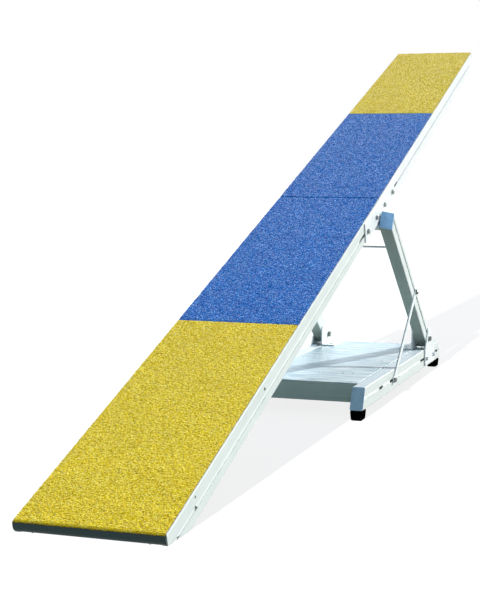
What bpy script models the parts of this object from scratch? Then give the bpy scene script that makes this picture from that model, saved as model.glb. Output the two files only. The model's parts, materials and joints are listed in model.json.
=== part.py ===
"""Dog agility seesaw: a two-piece aluminium plank that tilts on a low stand.

Metres, +Z up. +Y runs along the seesaw, away from the end that rests on the ground.
The origin is on the ground, under the middle of the seesaw's bounding box.
"""
import math

import bmesh
import bpy
from mathutils import Matrix

# Plank
PLANK_LENGTH = 3.600
PLANK_WIDTH = 0.300
PLANK_DEPTH = 0.066
NOSE_DEPTH = 0.027
FIELD_LENGTH = 0.900
GRANULATE = 0.004
SHEET = 0.002
EDGE_LIP = 0.0025
SEAM = 0.002
FIELD_SEAM = 0.0006
RIBS_PER_HALF = 4
RIB_INSET = 0.150
RIB_PAST_SPLICE = 0.100
RIB_WIDTH = 0.030
RIB_HEIGHT = 0.020
RIB_WALL = 0.002
NOSE_PLATE = 0.006
NOSE_TOP_ROUND = 0.0025
NOSE_LOW_ROUND = 0.0055
NOSE_TONGUE = 0.032
RAIL_SLOT_DROP = 0.040

# Extruded section, shared by the plank's rails, the posts and the base beams
SECTION_WIDTH = 0.036
WALL = 0.0025
CORNER = 0.003
SLOT_MOUTH = 0.009
SLOT_INNER = 0.016
SLOT_LIP = 0.0025
SLOT_DEPTH = 0.0085
SLOT_BOLT = 0.004
TEE_HEAD = 0.004

# Splice that joins the two halves of the plank
SPLICE_LENGTH = 0.400
SPLICE_HEIGHT = 0.058
SPLICE_PLATE = 0.003
SPLICE_BOLTS_AT = (-0.170, -0.055, 0.055, 0.170)
EDGE_CHAMFER = 0.0008

# Pivot
PIVOT_HEIGHT = 0.516
PIVOT_DROP = 0.085
AXLE_RADIUS = 0.008
BUSH_WALL = 0.0022
RUNNING_GAP = 0.0001
BUSH_FLANGE = 0.0040
BEARING_WIDTH = 0.013
BEARING_WALL = 0.0045
BRACKET_LENGTH = 0.104
BRACKET_FLANGE = 0.004
BRACKET_FOOT = 0.060
COLLAR_WIDTH = 0.008
COLLAR_WALL = 0.0055
COLLAR_CLEARANCE = 0.0012

# Stand
SIDE_CLEARANCE = 0.006
BASE_LENGTH = 1.170
BASE_FRONT = 0.365
BEAM_HEIGHT = 0.060
FOOT_HEIGHT = 0.029
FOOT_LENGTH = 0.050
FOOT_TAPER = 0.88
CAP_PLATE = 0.003
CAP_PLUG = 0.020
END_SLANT = 0.026
POST_DEPTH = 0.056
POST_REACH = 0.588
POST_FOOT_CLEARANCE = 0.004
POST_SLANT = 0.012
POST_SLOT_SHIFT = 0.0064
CROSSBEAM_WIDTH = 0.040
CROSSBEAM_HEIGHT = 0.052
DECK_FRONT = 0.285
DECK_LENGTH = 0.953
TIE_ROD_RADIUS = 0.003
TIE_ROD_AT = 0.123

# Brackets at the foot of the posts, and the struts
BRACKET_PLATE = 0.004
BRACKET_NEAR = 0.080
BRACKET_FAR = 0.130
GUSSET_NEAR = 0.061
GUSSET_FAR = 0.107
BRACKET_RISE = 0.036
FLANGE_WIDTH = 0.045
STRUT_WIDTH = 0.020
STRUT_TOP_AT = 0.405
STRUT_FOOT_AT = 0.023

GAP = 0.0003
ROUND = 20
LEVEL = 0.0

SEESAW = bpy.data.collections.new("dog_agility_seesaw")
CUTTERS = bpy.data.collections.new("cutters")


def rest_tilt():
    """Angle at which the plank's near bottom edge just meets the ground."""
    half = PLANK_LENGTH / 2
    rise = PIVOT_DROP - NOSE_DEPTH
    return math.asin(PIVOT_HEIGHT / math.hypot(half, rise)) + math.atan2(rise, half)


TILT = rest_tilt()
PIVOT_Y = (PIVOT_DROP - NOSE_DEPTH / 2) * math.sin(TILT)
RAIL_OUT = PLANK_WIDTH / 2
RAIL_IN = RAIL_OUT - SECTION_WIDTH
SHEET_TOP = GRANULATE + GAP
RAIL_TOP = SHEET_TOP + SHEET + GAP
STAND_IN = RAIL_OUT + SIDE_CLEARANCE
STAND_OUT = STAND_IN + SECTION_WIDTH
BEAM_TOP = FOOT_HEIGHT + BEAM_HEIGHT
BEAM_SLOT = FOOT_HEIGHT + BEAM_HEIGHT / 2
BASE_NEAR = PIVOT_Y - BASE_FRONT
BASE_FAR = BASE_NEAR + BASE_LENGTH
DECK_NEAR = PIVOT_Y - DECK_FRONT
DECK_FAR = DECK_NEAR + DECK_LENGTH
DECK_TOP = BEAM_TOP + 0.0005
CROSSBEAM_TOP = DECK_TOP - SHEET - GAP
FOOT_BOLT_Y = PIVOT_Y + POST_REACH
POST_FOOT_HEIGHT = BEAM_TOP + POST_DEPTH / 2 + POST_FOOT_CLEARANCE
POST_LENGTH = math.hypot(POST_REACH, PIVOT_HEIGHT - POST_FOOT_HEIGHT)
POST_LEAN = math.atan2(PIVOT_HEIGHT - POST_FOOT_HEIGHT, POST_REACH)
POST_END = POST_DEPTH / 2
BUSH_RADIUS = AXLE_RADIUS + RUNNING_GAP + BUSH_WALL
BEARING_RADIUS = BUSH_RADIUS + GAP + BEARING_WALL
BEARING_OUT = RAIL_OUT
BEARING_IN = BEARING_OUT - BEARING_WIDTH


def collections_ready():
    """Empties the scene of objects and links the two collections."""
    for obj in list(bpy.data.objects):
        bpy.data.objects.remove(obj, do_unlink=True)
    bpy.context.scene.collection.children.link(SEESAW)
    bpy.context.scene.collection.children.link(CUTTERS)


def material(name, colour, roughness, metallic):
    made = bpy.data.materials.new(name)
    made.use_nodes = True
    shader = made.node_tree.nodes["Principled BSDF"]
    shader.inputs["Base Color"].default_value = (*colour, 1.0)
    shader.inputs["Roughness"].default_value = roughness
    shader.inputs["Metallic"].default_value = metallic
    made.diffuse_color = (*colour, 1.0)
    return made


FINISHES = {
    "alloy": ((0.80, 0.82, 0.82), 0.35, 1.0),
    "plate": ((0.76, 0.79, 0.80), 0.30, 1.0),
    "cap": ((0.16, 0.26, 0.36), 0.45, 0.2),
    "zinc": ((0.52, 0.54, 0.55), 0.35, 1.0),
    "steel": ((0.60, 0.61, 0.62), 0.25, 1.0),
    "bronze": ((0.48, 0.33, 0.15), 0.40, 1.0),
    "rubber": ((0.012, 0.012, 0.013), 0.70, 0.0),
    "nose": ((0.030, 0.050, 0.050), 0.60, 0.0),
    "yellow": ((0.62, 0.50, 0.06), 0.85, 0.0),
    "blue": ((0.05, 0.15, 0.50), 0.85, 0.0),
}


def empty(name, location, tilt):
    """A frame turned about X that carries the pieces of one assembly."""
    frame = bpy.data.objects.new(name, None)
    frame.location = location
    frame.rotation_euler = (tilt, 0.0, 0.0)
    SEESAW.objects.link(frame)
    return frame


def keep(name, mesh, finish, parent=None):
    """Names a mesh as a sub-part with a material of its own."""
    obj = bpy.data.objects.new(name, mesh)
    mesh.materials.clear()
    mesh.materials.append(material(name, *FINISHES[finish]))
    obj.parent = parent
    SEESAW.objects.link(obj)
    return obj


def mesh_from(bm):
    """Mesh with its faces pointing out; a hollow section can come out reversed as a whole."""
    bmesh.ops.recalc_face_normals(bm, faces=bm.faces)
    if bm.calc_volume(signed=True) < 0:
        bmesh.ops.reverse_faces(bm, faces=bm.faces)
    mesh = bpy.data.meshes.new("piece")
    bm.to_mesh(mesh)
    bm.free()
    return mesh


def evaluated_mesh(obj):
    graph = bpy.context.evaluated_depsgraph_get()
    return bpy.data.meshes.new_from_object(obj.evaluated_get(graph))


def rounded(points, radii, steps=3):
    """Polygon whose corners are arcs: each arc meets its two sides at a tangent."""
    outline = []
    for i, (x, y) in enumerate(points):
        radius = radii[i % len(radii)]
        if radius == 0:
            outline.append((x, y))
            continue
        before, after = points[i - 1], points[(i + 1) % len(points)]
        ax, ay = before[0] - x, before[1] - y
        bx, by = after[0] - x, after[1] - y
        la, lb = math.hypot(ax, ay), math.hypot(bx, by)
        ax, ay, bx, by = ax / la, ay / la, bx / lb, by / lb
        half = math.acos(max(-1.0, min(1.0, ax * bx + ay * by))) / 2
        cut = min(radius / math.tan(half), 0.45 * la, 0.45 * lb)
        radius = cut * math.tan(half)
        mx, my = ax + bx, ay + by
        lm = math.hypot(mx, my)
        reach = radius / math.sin(half)
        cx, cy = x + mx / lm * reach, y + my / lm * reach
        start = math.atan2(y + ay * cut - cy, x + ax * cut - cx)
        end = math.atan2(y + by * cut - cy, x + bx * cut - cx)
        sweep = (end - start + math.pi) % (2 * math.pi) - math.pi
        for k in range(steps + 1):
            angle = start + sweep * k / steps
            outline.append((cx + radius * math.cos(angle), cy + radius * math.sin(angle)))
    return outline


def rectangle(width, low, high, radius=0.0, steps=3):
    """Outline centred on the first axis, from low to high on the second."""
    half = width / 2
    corners = [(-half, low), (half, low), (half, high), (-half, high)]
    return rounded(corners, [radius], steps)


def slotted_section(side, inner, low, high, slot):
    """Hollow box section with a T-slot in its outer face: outer and inner outlines.

    side is +1 for a piece on the +X side and -1 for its mirror image.
    """
    outer = inner + SECTION_WIDTH
    mouth, wide = SLOT_MOUTH / 2, SLOT_INNER / 2
    lip, floor = outer - SLOT_LIP, outer - SLOT_DEPTH
    square = [(inner, low), (outer, low), (outer, high), (inner, high)]
    corners = rounded(square, [CORNER])
    run = len(corners) // 4
    groove = [(outer, slot - mouth), (lip, slot - mouth), (lip, slot - wide), (floor, slot - wide),
              (floor, slot + wide), (lip, slot + wide), (lip, slot + mouth), (outer, slot + mouth)]
    outside = corners[:2 * run] + groove + corners[2 * run:]
    bump = wide + WALL
    inside = [(inner + WALL, low + WALL), (outer - WALL, low + WALL), (outer - WALL, slot - bump),
              (floor - WALL, slot - bump), (floor - WALL, slot + bump), (outer - WALL, slot + bump),
              (outer - WALL, high - WALL), (inner + WALL, high - WALL)]
    return [[(side * x, z) for x, z in loop] for loop in (outside, inside)]


AXES = {
    "X": Matrix(((0, 0, 1), (1, 0, 0), (0, 1, 0))).to_4x4(),
    "Y": Matrix(((1, 0, 0), (0, 0, -1), (0, 1, 0))).to_4x4(),
    "Z": Matrix.Identity(4),
}


def extruded(loops, axis, low, high):
    """Flat outline drawn out along an axis: a filled 2D curve with its caps welded.

    The outline's own axes are (y, z) for X, (x, z) for Y and (x, y) for Z.
    """
    curve = bpy.data.curves.new("outline", "CURVE")
    curve.dimensions = "2D"
    curve.fill_mode = "BOTH"
    curve.extrude = (high - low) / 2
    for loop in loops:
        spline = curve.splines.new("POLY")
        spline.points.add(len(loop) - 1)
        for point, (a, b) in zip(spline.points, loop):
            point.co = (a, b, 0.0, 1.0)
        spline.use_cyclic_u = True
    drawn = bpy.data.objects.new("outline", curve)
    SEESAW.objects.link(drawn)
    bm = bmesh.new()
    bm.from_mesh(evaluated_mesh(drawn))
    bpy.data.objects.remove(drawn, do_unlink=True)
    bmesh.ops.remove_doubles(bm, verts=bm.verts, dist=0.00001)
    middle = {"X": (1, 0, 0), "Y": (0, 1, 0), "Z": (0, 0, 1)}[axis]
    shift = Matrix.Translation([(low + high) / 2 * m for m in middle])
    bm.transform(shift @ AXES[axis])
    return mesh_from(bm)


def lofted(rings):
    """Closed solid through rings that have the same number of points."""
    bm = bmesh.new()
    rows = [[bm.verts.new(point) for point in ring] for ring in rings]
    for below, above in zip(rows, rows[1:]):
        for i in range(len(below)):
            j = (i + 1) % len(below)
            bm.faces.new((below[i], below[j], above[j], above[i]))
    bm.faces.new(rows[0])
    bm.faces.new(rows[-1])
    return mesh_from(bm)


def edged_plate(outline, axis, inner, outer, chamfer=EDGE_CHAMFER):
    """Plate between two limits on an axis, with a chamfer all round its outer face.

    The outer face is the outline drawn in towards its middle by the chamfer on both axes.
    """
    middle = [(min(values) + max(values)) / 2 for values in zip(*outline)]
    half = [(max(values) - min(values)) / 2 for values in zip(*outline)]
    small = [[m + (v - m) * (1 - chamfer / h) for v, m, h in zip(point, middle, half)] for point in outline]
    shoulder = outer - chamfer if outer > inner else outer + chamfer
    order = {"X": (2, 0, 1), "Y": (0, 2, 1), "Z": (0, 1, 2)}[axis]
    rings = [(outline, inner), (outline, shoulder), (small, outer)]
    return lofted([[[(a, b, at)[i] for i in order] for a, b in ring] for ring, at in rings])


def prism(profile, sides):
    """Solid about the X axis: each (radius, x) of the profile is a ring with this many corners."""
    angles = [2 * math.pi * k / sides for k in range(sides)]
    return lofted([[(x, radius * math.cos(a), radius * math.sin(a)) for a in angles] for radius, x in profile])


def block(x, y, z):
    """Box between two limits on each axis."""
    bm = bmesh.new()
    bmesh.ops.create_cube(bm, size=1.0)
    size = [b - a for a, b in (x, y, z)]
    centre = [(a + b) / 2 for a, b in (x, y, z)]
    bm.transform(Matrix.Translation(centre) @ Matrix.Diagonal((*size, 1.0)))
    return mesh_from(bm)


TURN = {
    "X": Matrix.Rotation(math.pi / 2, 4, "Y"),
    "Y": Matrix.Rotation(-math.pi / 2, 4, "X"),
    "Z": Matrix.Identity(4),
}


def rod(radius, axis, low, high, at=(0.0, 0.0), sides=ROUND):
    """Cylinder or prism along an axis; at is its place on the two other axes, in X, Y, Z order."""
    bm = bmesh.new()
    bmesh.ops.create_cone(bm, cap_ends=True, segments=sides, radius1=radius, radius2=radius, depth=high - low)
    middle = (low + high) / 2
    centre = {"X": (middle, *at), "Y": (at[0], middle, at[1]), "Z": (*at, middle)}[axis]
    bm.transform(Matrix.Translation(centre) @ TURN[axis])
    return mesh_from(bm)


def grouped(meshes):
    """Several separate solids in one mesh, for a cutter."""
    bm = bmesh.new()
    for mesh in meshes:
        bm.from_mesh(mesh)
    return mesh_from(bm)


def moved(mesh, offset, mirror=False):
    """Copy of a mesh, mirrored in X if asked, and then moved."""
    bm = bmesh.new()
    bm.from_mesh(mesh)
    if mirror:
        bm.transform(Matrix.Diagonal((-1.0, 1.0, 1.0, 1.0)))
    bm.transform(Matrix.Translation(offset))
    return mesh_from(bm)


def fused(meshes):
    """Overlapping solids made one by Boolean unions."""
    first = bpy.data.objects.new("fused", meshes[0])
    SEESAW.objects.link(first)
    others = []
    for mesh in meshes[1:]:
        other = bpy.data.objects.new("other", mesh)
        SEESAW.objects.link(other)
        others.append(other)
        join = first.modifiers.new("join", "BOOLEAN")
        join.operation = "UNION"
        join.object = other
    result = evaluated_mesh(first)
    for obj in [first, *others]:
        bpy.data.objects.remove(obj, do_unlink=True)
    return result


def cut(obj, meshes):
    """Subtracts solids from an object; the cutter stays in its own collection."""
    cutter = bpy.data.objects.new("cut_" + obj.name, grouped(meshes))
    cutter.parent = obj.parent
    cutter.hide_render = True
    cutter.display_type = "WIRE"
    CUTTERS.objects.link(cutter)
    remove = obj.modifiers.new("cut", "BOOLEAN")
    remove.operation = "DIFFERENCE"
    remove.object = cutter


def turned(name, profile, steps, finish, parent, location):
    """Profile of (radius, height) points turned about the X axis with a Screw modifier."""
    closed = profile[0][0] > 0
    bm = bmesh.new()
    verts = [bm.verts.new((radius, 0.0, height)) for radius, height in profile]
    for a, b in zip(verts, verts[1:]):
        bm.edges.new((a, b))
    if closed:
        bm.edges.new((verts[-1], verts[0]))
    mesh = bpy.data.meshes.new(name)
    bm.to_mesh(mesh)
    bm.free()
    obj = keep(name, mesh, finish, parent)
    obj.location = location
    obj.rotation_euler = (0.0, math.pi / 2, 0.0)
    screw = obj.modifiers.new("turn", "SCREW")
    screw.steps = steps
    screw.render_steps = steps
    screw.use_merge_vertices = True
    screw.merge_threshold = 0.00001
    screw.use_smooth_shade = True
    return obj


def smooth(obj, degrees=35):
    obj.data.shade_smooth()
    obj.data.set_sharp_from_angle(angle=math.radians(degrees))


SIDES = (("left", -1), ("right", 1))


def along(side, low, high):
    """Limits on X for a piece between two distances from the middle plane."""
    return (low, high) if side > 0 else (-high, -low)


def hex_bolt(radius, grip, end):
    """Bolt along X: its washer sits at 0 and its shank reaches grip into -X, into the end piece.

    end is the mesh at the shank's far end, whose near face is at 0: a T-slot head or a nut.
    """
    washer = prism([(2.1 * radius, 0.0), (2.1 * radius, 0.0012), (2.0 * radius, 0.0016)], ROUND)
    top = 0.0016 + 1.25 * radius
    head = prism([(1.85 * radius, 0.0010), (1.85 * radius, top - 0.22 * radius), (1.55 * radius, top)], 6)
    shank = rod(radius, "X", -grip - 0.001, 0.0012, sides=12)
    return fused([washer, head, shank, moved(end, (-grip, 0.0, 0.0))])


def tee_head():
    """Oblong head that locks behind the lips of a T-slot."""
    half_width, half_length = SLOT_INNER / 2 - 2 * GAP, SLOT_INNER / 2 + 0.001
    return block((-TEE_HEAD, 0.0), (-half_length, half_length), (-half_width, half_width))


def slot_bolt(plate, sunk):
    """T-slot bolt through a plate of this thickness; sunk when it is one piece with the plate."""
    stand_off = -0.0004 if sunk else GAP
    return stand_off, hex_bolt(SLOT_BOLT, plate + stand_off + SLOT_LIP + 2 * GAP, tee_head())


def button_screw(radius, length):
    """Low round-headed screw along X, its head's inner face at 0."""
    head = rod(1.8 * radius, "X", 0.0, 0.9 * radius, sides=12)
    shank = rod(radius, "X", -length, 0.4 * radius, sides=10)
    return fused([head, shank])


def both_ways(mesh, side, x, y, z):
    """A fastener made for the +X side, put on either side."""
    return moved(mesh, (side * x, y, z), mirror=side < 0)


def height_at(drop):
    """Height over the pivot, in the plank's frame, of a point this far under its top."""
    return PIVOT_DROP - drop


def rib_places():
    """Middle of each cross rib on the far half, evenly spaced from the tip towards the splice."""
    first = PLANK_LENGTH / 2 - RIB_INSET
    last = SPLICE_LENGTH / 2 + RIB_PAST_SPLICE
    return [first + (last - first) * i / (RIBS_PER_HALF - 1) for i in range(RIBS_PER_HALF)]


def ground_wedge(end):
    """Wedge under a plank tip; its face lies on the ground when that end is down."""
    tip, run = PLANK_LENGTH / 2, 3 * PLANK_DEPTH / math.tan(TILT)
    start = height_at(NOSE_DEPTH)
    past = 0.010
    corners = [(end * (tip + past), start + past * math.tan(TILT)),
               (end * (tip - run), start - run * math.tan(TILT)),
               (end * (tip + past), start - run * math.tan(TILT))]
    return extruded([corners], "X", -PLANK_WIDTH, PLANK_WIDTH)


def build_rails(plank):
    """Four slotted rails, cut to lie on the ground at the tips and drilled for the pivot's screws."""
    low, high = height_at(PLANK_DEPTH), height_at(RAIL_TOP)
    slot = height_at(RAIL_SLOT_DROP)
    tip = PLANK_LENGTH / 2 - NOSE_PLATE - GAP
    for end_name, end in (("near", -1), ("far", 1)):
        for side_name, side in SIDES:
            span = sorted((end * SEAM / 2, end * tip))
            loops = slotted_section(side, RAIL_IN, low, high, slot)
            rail = keep(f"rail_{end_name}_{side_name}", extruded(loops, "Y", *span), "alloy", plank)
            holes = [rod(0.0033, "Z", low - 0.001, low + WALL + 0.001, at=(side * x, end * y), sides=12)
                     for x, y in bracket_screws()]
            cut(rail, holes)
            cut(rail, [ground_wedge(end)])


def bracket_screws():
    """Places, on one side and one end, of the screws that hold a pivot bracket."""
    reach = BRACKET_LENGTH / 2 - 0.012
    return [(RAIL_IN + 0.010, reach), (RAIL_OUT - 0.010, reach)]


def build_deck_panels(plank):
    """Aluminium sheets over the rails, and the four fields of rubber granulate on them."""
    tip = PLANK_LENGTH / 2 - NOSE_PLATE - GAP
    for end_name, end in (("near", -1), ("far", 1)):
        z = (height_at(SHEET_TOP + SHEET), height_at(SHEET_TOP))
        span = sorted((end * SEAM / 2, end * tip))
        keep(f"plank_sheet_{end_name}", block((-RAIL_OUT, RAIL_OUT), span, z), "plate", plank)
        width = RAIL_OUT - EDGE_LIP
        z = (height_at(GRANULATE), height_at(LEVEL))
        change = PLANK_LENGTH / 2 - FIELD_LENGTH
        fields = (("blue", SEAM / 2, change - FIELD_SEAM / 2), ("yellow", change + FIELD_SEAM / 2, PLANK_LENGTH / 2))
        for colour, start, stop in fields:
            span = sorted((end * start, end * stop))
            keep(f"{colour}_granulate_{end_name}", block((-width, width), span, z), colour, plank)


def build_cross_ribs(plank):
    """Rectangular tubes between the rails, under the sheet."""
    top = height_at(RAIL_TOP + GAP)
    bottom = top - RIB_HEIGHT
    reach = RAIL_IN - GAP
    outer = rectangle(RIB_WIDTH, bottom, top)
    inner = rectangle(RIB_WIDTH - 2 * RIB_WALL, bottom + RIB_WALL, top - RIB_WALL)
    tube = extruded([outer, inner], "X", -reach, reach)
    for end_name, end in (("near", -1), ("far", 1)):
        for number, place in enumerate(rib_places(), start=1):
            keep(f"cross_rib_{end_name}_{number}", moved(tube, (0.0, end * place, 0.0)), "alloy", plank)


def nose_profile():
    """(along, height) of the far end piece: flat against the rails, bulging outwards, rounder below."""
    tip, steps, widest = PLANK_LENGTH / 2, 12, 0.35
    points = [(tip - NOSE_PLATE, height_at(SHEET_TOP))]
    for k in range(steps + 1):
        t = k / steps
        if t < widest:
            inset = NOSE_TOP_ROUND * (1 - t / widest) ** 2
        else:
            inset = NOSE_LOW_ROUND * ((t - widest) / (1 - widest)) ** 3
        points.append((tip - inset, height_at(SHEET_TOP + t * (NOSE_DEPTH - SHEET_TOP))))
    return points + [(tip - NOSE_PLATE, height_at(NOSE_DEPTH))]


def build_nosings(plank):
    """End pieces: a bulging strip over both rail ends and a tongue that fits between the rails."""
    for end_name, end in (("near", -1), ("far", 1)):
        tip = PLANK_LENGTH / 2
        outline = [(end * along_plank, height) for along_plank, height in nose_profile()]
        strip = extruded([outline], "X", -RAIL_OUT, RAIL_OUT)
        reach = RAIL_IN - GAP
        tongue = block((-reach, reach), sorted((end * (tip - NOSE_TONGUE), end * (tip - 0.8 * NOSE_PLATE))),
                       (height_at(NOSE_DEPTH - 0.002), height_at(RAIL_TOP + GAP)))
        keep(f"end_nosing_{end_name}", fused([strip, tongue]), "nose", plank)


def build_splices(plank):
    """Plates over the joint of the two halves, bolted into the rails' T-slots."""
    slot = height_at(RAIL_SLOT_DROP)
    low = height_at(PLANK_DEPTH)
    half = SPLICE_LENGTH / 2
    square = [(-half, low), (half, low), (half, low + SPLICE_HEIGHT), (-half, low + SPLICE_HEIGHT)]
    outline = rounded(square, [0.004])
    stand_off, bolt = slot_bolt(SPLICE_PLATE, sunk=True)
    seat = RAIL_OUT + GAP + SPLICE_PLATE + stand_off
    for side_name, side in SIDES:
        plate = edged_plate(outline, "X", side * (RAIL_OUT + GAP), side * (RAIL_OUT + GAP + SPLICE_PLATE))
        bolts = [both_ways(bolt, side, seat, y, slot) for y in SPLICE_BOLTS_AT]
        keep(f"splice_plate_{side_name}", fused([plate, *bolts]), "plate", plank)


def build_bearings(plank):
    """Brackets under the rails, each with a flanged bush that turns on the axle."""
    top = height_at(PLANK_DEPTH) - GAP
    under = top - BRACKET_FLANGE
    half_foot = BRACKET_FOOT / 2
    spread = math.atan2(under, half_foot)
    tangent = spread - math.acos(BEARING_RADIUS / math.hypot(under, half_foot))
    steps = 14
    sweep = -math.pi - 2 * tangent
    arc = [tangent + sweep * k / steps for k in range(steps + 1)]
    web = [(-half_foot, top), (half_foot, top), (half_foot, under)]
    web += [(BEARING_RADIUS * math.cos(a), BEARING_RADIUS * math.sin(a)) for a in arc]
    web += [(-half_foot, under)]
    screw = button_screw(0.003, BRACKET_FLANGE + GAP + WALL)
    for side_name, side in SIDES:
        flange = block(along(side, RAIL_IN + 0.0005, RAIL_OUT - 0.0002), (-BRACKET_LENGTH / 2, BRACKET_LENGTH / 2),
                       (under, top))
        x = along(side, BEARING_IN, BEARING_OUT - 0.0002)
        screws = [stood(screw, side * a, end * b, under + 0.0004, head_up=False)
                  for end in (-1, 1) for a, b in bracket_screws()]
        solid = fused([flange, extruded([web], "X", *x), *screws])
        bracket = keep(f"pivot_bracket_{side_name}", solid, "plate", plank)
        cut(bracket, [rod(BUSH_RADIUS + GAP, "X", *along(side, BEARING_IN - 0.005, BEARING_OUT + 0.005), sides=32)])
        bore, wall = AXLE_RADIUS + RUNNING_GAP, BUSH_RADIUS
        out = BEARING_OUT + GAP
        shoulder = wall + 0.003
        profile = [(wall, BEARING_IN), (bore, BEARING_IN), (bore, out + BUSH_FLANGE), (shoulder, out + BUSH_FLANGE),
                   (shoulder, out), (wall, out)]
        profile = [(radius, side * x) for radius, x in profile]
        turned(f"pivot_bush_{side_name}", profile if side > 0 else profile[::-1], 32, "bronze", plank, (0, 0, 0))


def stood(mesh, x, y, z, head_up=True):
    """A screw made along X, stood upright with its head at the top or the bottom."""
    bm = bmesh.new()
    bm.from_mesh(mesh)
    turn = -math.pi / 2 if head_up else math.pi / 2
    bm.transform(Matrix.Translation((x, y, z)) @ Matrix.Rotation(turn, 4, "Y"))
    return mesh_from(bm)


def build_axle():
    """Steel axle held in the two posts, and the collars that keep the plank central."""
    centre = (0.0, PIVOT_Y, PIVOT_HEIGHT)
    reach = STAND_OUT - SLOT_DEPTH - WALL - 0.001
    chamfer = 0.001
    r = AXLE_RADIUS
    profile = [(0.0, reach), (r - chamfer, reach), (r, reach - chamfer),
               (r, chamfer - reach), (r - chamfer, -reach), (0.0, -reach)]
    turned("axle", profile, 32, "steel", None, centre)
    under = height_at(PLANK_DEPTH) - GAP - BRACKET_FLANGE
    outer = min(AXLE_RADIUS + COLLAR_WALL, under - COLLAR_CLEARANCE)
    for side_name, side in SIDES:
        low, high = along(side, BEARING_IN - GAP - COLLAR_WIDTH, BEARING_IN - GAP)
        bore, edge = AXLE_RADIUS + GAP, 0.0008
        profile = [(bore, low), (bore, high), (outer - edge, high), (outer, high - edge),
                   (outer, low + edge), (outer - edge, low)]
        turned(f"axle_collar_{side_name}", profile, 32, "zinc", None, centre)


def slant_ends(mesh):
    """Slants the ends of a beam or of its cap, so that the top is shorter than the bottom."""
    halfway = (BASE_NEAR + BASE_FAR) / 2
    for vert in mesh.vertices:
        end = 1 if vert.co.y > halfway else -1
        vert.co.y -= end * END_SLANT * (vert.co.z - BEAM_SLOT) / BEAM_HEIGHT
    return mesh


def slant_top(mesh):
    """Slants the upper end of a post or its cap, so that it is lower on the outside."""
    middle = STAND_IN + SECTION_WIDTH / 2
    for vert in mesh.vertices:
        if vert.co.y < -POST_LENGTH / 2:
            vert.co.y -= POST_SLANT * (middle - abs(vert.co.x)) / SECTION_WIDTH
    return mesh


def build_base():
    """Two slotted beams with end caps and rubber feet, three crossbeams and the deck."""
    cap_outline = rectangle(SECTION_WIDTH, FOOT_HEIGHT, BEAM_TOP, CORNER)
    plug_half = SECTION_WIDTH - WALL - SLOT_DEPTH - WALL - 2 * GAP
    for side_name, side in SIDES:
        loops = slotted_section(side, STAND_IN, FOOT_HEIGHT, BEAM_TOP, BEAM_SLOT)
        span = (BASE_NEAR + CAP_PLATE + GAP, BASE_FAR - CAP_PLATE - GAP)
        keep(f"base_beam_{side_name}", slant_ends(extruded(loops, "Y", *span)), "alloy")
        middle = side * (STAND_IN + SECTION_WIDTH / 2)
        for end_name, end in (("front", -1), ("rear", 1)):
            edge = BASE_NEAR if end < 0 else BASE_FAR
            plate = edged_plate([(middle + a, b) for a, b in cap_outline], "Y", edge - end * CAP_PLATE, edge)
            plug = block(along(side, STAND_IN + WALL + GAP, STAND_IN + WALL + GAP + plug_half),
                         sorted((edge - end * CAP_PLATE / 2, edge - end * (CAP_PLATE + CAP_PLUG))),
                         (FOOT_HEIGHT + WALL + GAP, BEAM_TOP - WALL - GAP))
            keep(f"beam_cap_{end_name}_{side_name}", slant_ends(fused([plate, plug])), "cap")
            build_foot(f"foot_{end_name}_{side_name}", middle, edge + end * (END_SLANT - FOOT_LENGTH) / 2)


def build_foot(name, x, y):
    """Rubber block, narrower at the ground, with its lower edges rounded."""
    bm = bmesh.new()
    bmesh.ops.create_cube(bm, size=1.0)
    top = FOOT_HEIGHT - GAP
    for vert in bm.verts:
        narrow = FOOT_TAPER if vert.co.z < 0 else 1.0
        vert.co.x *= SECTION_WIDTH * narrow
        vert.co.y *= FOOT_LENGTH * narrow
        vert.co.z = 0.0 if vert.co.z < 0 else top
    foot = keep(name, mesh_from(bm), "rubber")
    foot.location = (x, y, 0.0)
    bevel = foot.modifiers.new("soft_edges", "BEVEL")
    bevel.width = 0.005
    bevel.segments = 3
    bevel.limit_method = "ANGLE"
    return foot


def build_crossbeams():
    reach = STAND_IN - GAP
    low, high = CROSSBEAM_TOP - CROSSBEAM_HEIGHT, CROSSBEAM_TOP
    places = crossbeam_places()
    for name, y in zip(("front", "middle", "rear"), places):
        outer = [(a + y, b) for a, b in rectangle(CROSSBEAM_WIDTH, low, high, 0.002)]
        inner = [(a + y, b) for a, b in rectangle(CROSSBEAM_WIDTH - 2 * WALL, low + WALL, high - WALL)]
        keep(f"crossbeam_{name}", extruded([outer, inner], "X", -reach, reach), "alloy")


def crossbeam_places():
    """Middle lines of the crossbeams, flush with the deck's edges and midway."""
    near, far = DECK_NEAR + CROSSBEAM_WIDTH / 2, DECK_FAR - CROSSBEAM_WIDTH / 2
    return near, (near + far) / 2, far


def build_deck():
    """Sheet between the base beams, over the crossbeams."""
    reach = STAND_IN - GAP
    deck = block((-reach, reach), (DECK_NEAR, DECK_FAR), (DECK_TOP - SHEET, DECK_TOP))
    keep("base_deck", deck, "plate")


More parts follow.
